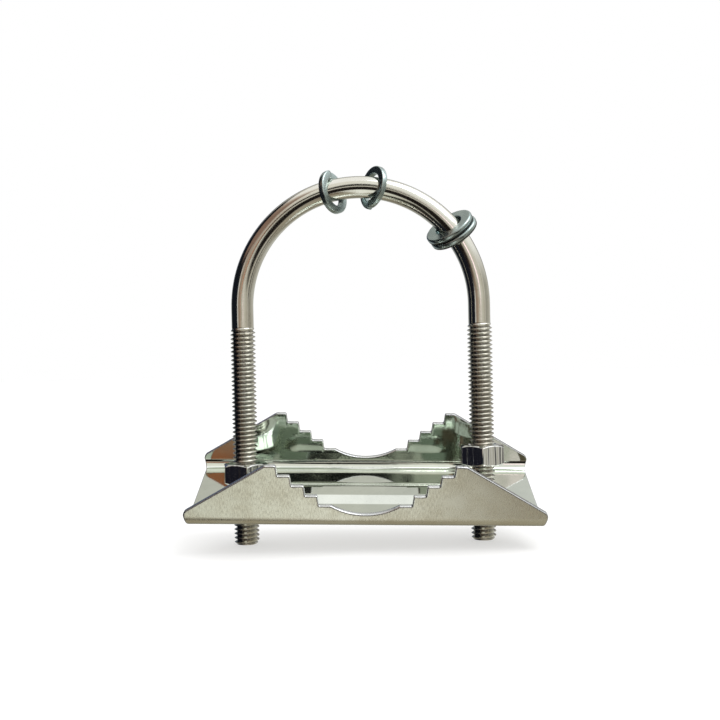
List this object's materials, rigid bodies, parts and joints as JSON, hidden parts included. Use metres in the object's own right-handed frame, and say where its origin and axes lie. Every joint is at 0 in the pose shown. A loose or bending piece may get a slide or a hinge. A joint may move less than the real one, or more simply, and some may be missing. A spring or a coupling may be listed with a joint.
{
  "type": "u-bolt mast clamp",
  "caption": "U-bolt with threaded legs through a toothed channel saddle, with hex nuts on the legs and spare washers on the arch; clamps a round mast or pipe.",
  "frame": {"origin": "midway between the ends of the two legs", "axes": "+X from the left leg to the right leg, +Y along the mast that the clamp holds, +Z along the legs towards the arch"},
  "size_m": [0.0811, 0.0335, 0.089],
  "materials": {
    "rod_zinc": "bright zinc plate on drawn rod, polished, with rolled threads",
    "sheet_zinc": "zinc plate on rolled sheet, satin outside and near-mirror inside, bright sheared edges",
    "nut_zinc": "bright zinc plate, polished flats",
    "washer_zinc": "blue-passivated zinc plate, satin"
  },
  "bodies": {
    "u_bolt": {"u_bolt": "rod_zinc"},
    "saddle": {"saddle": "sheet_zinc"},
    "left_nut": {"left_nut": "nut_zinc"},
    "right_nut": {"right_nut": "nut_zinc"},
    "left_lock_washer": {"left_lock_washer": "washer_zinc"},
    "right_lock_washer": {"right_lock_washer": "washer_zinc"},
    "upper_flat_washer": {"upper_flat_washer": "washer_zinc"},
    "lower_flat_washer": {"lower_flat_washer": "washer_zinc"}
  },
  "joints": [
    {"name": "left_nut_travel", "type": "slide", "parent": "u_bolt", "child": "left_nut", "axis": [0, 0, 1], "range_m": [-0.009, 0.024]},
    {"name": "right_nut_travel", "type": "slide", "parent": "left_nut", "child": "right_nut", "axis": [0, 0, 1], "range_m": [-0.0045, 0.0037]},
    {"name": "saddle_tilt", "type": "hinge", "parent": "left_nut", "child": "saddle", "pos_m": [0.0002, 0, 0.0108], "axis": [0.9997, 0, -0.0262], "range_deg": [-40.2, 1.2]},
    {"name": "left_lock_washer_travel", "type": "hinge", "parent": "u_bolt", "child": "left_lock_washer", "pos_m": [0, 0, 0.0559], "axis": [0, 1, 0], "range_deg": [-62, 2]},
    {"name": "right_lock_washer_travel", "type": "hinge", "parent": "u_bolt", "child": "right_lock_washer", "pos_m": [0, 0, 0.0559], "axis": [0, 1, 0], "range_deg": [-2, 8]},
    {"name": "upper_flat_washer_travel", "type": "hinge", "parent": "u_bolt", "child": "upper_flat_washer", "pos_m": [0, 0, 0.0559], "axis": [0, 1, 0], "range_deg": [-17, 0]},
    {"name": "lower_flat_washer_travel", "type": "hinge", "parent": "u_bolt", "child": "lower_flat_washer", "pos_m": [0, 0, 0.0559], "axis": [0, 1, 0], "range_deg": [0, 30]}
  ]
}
